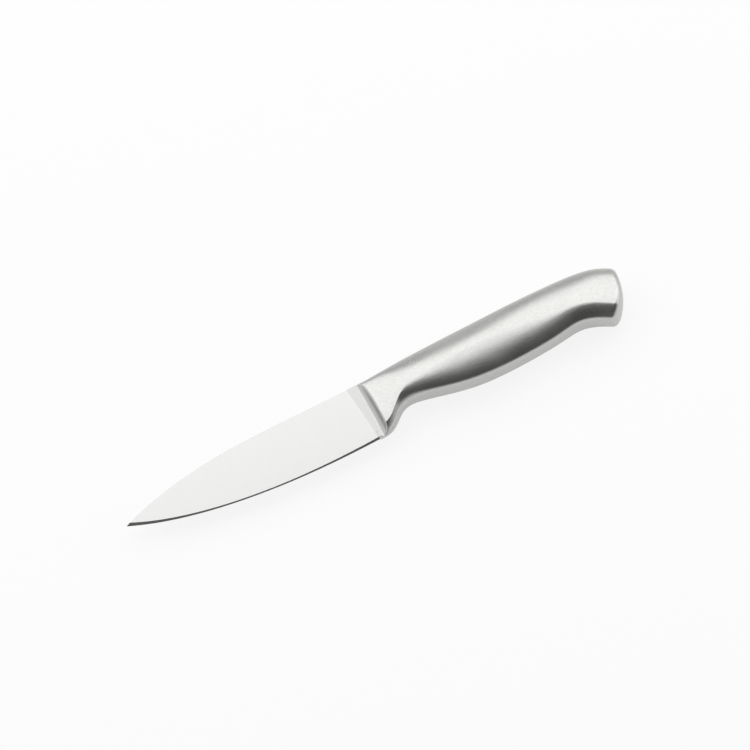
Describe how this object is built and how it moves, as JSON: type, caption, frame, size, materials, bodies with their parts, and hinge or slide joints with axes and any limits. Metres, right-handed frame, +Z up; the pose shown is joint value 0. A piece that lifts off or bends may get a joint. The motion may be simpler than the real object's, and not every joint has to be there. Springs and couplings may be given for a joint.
{
  "type": "paring knife",
  "caption": "Paring knife lying on its side: tapered ground blade, coved bolster with finger guard, and hollow steel handle with a hooked, domed butt.",
  "frame": {"origin": "centre of the bounding box's bottom face: the knife lies on its side on the table", "axes": "+X from the tip to the butt, +Y from the cutting edge to the spine, +Z up through the thickness"},
  "size_m": [0.1858, 0.0243, 0.0144],
  "materials": {
    "blade_steel": "fine ground stainless steel",
    "handle_steel": "satin stainless steel",
    "weld_steel": "weld metal ground flush and satin finished"
  },
  "bodies": {
    "root": {"blade": "blade_steel", "bolster": "handle_steel", "bolster_ring_weld": "weld_steel", "tang_welds": "weld_steel", "handle_shell_left": "handle_steel", "handle_shell_right": "handle_steel", "spine_seam_weld": "weld_steel", "belly_seam_weld": "weld_steel", "butt_seam_weld": "weld_steel"}
  },
  "joints": []
}
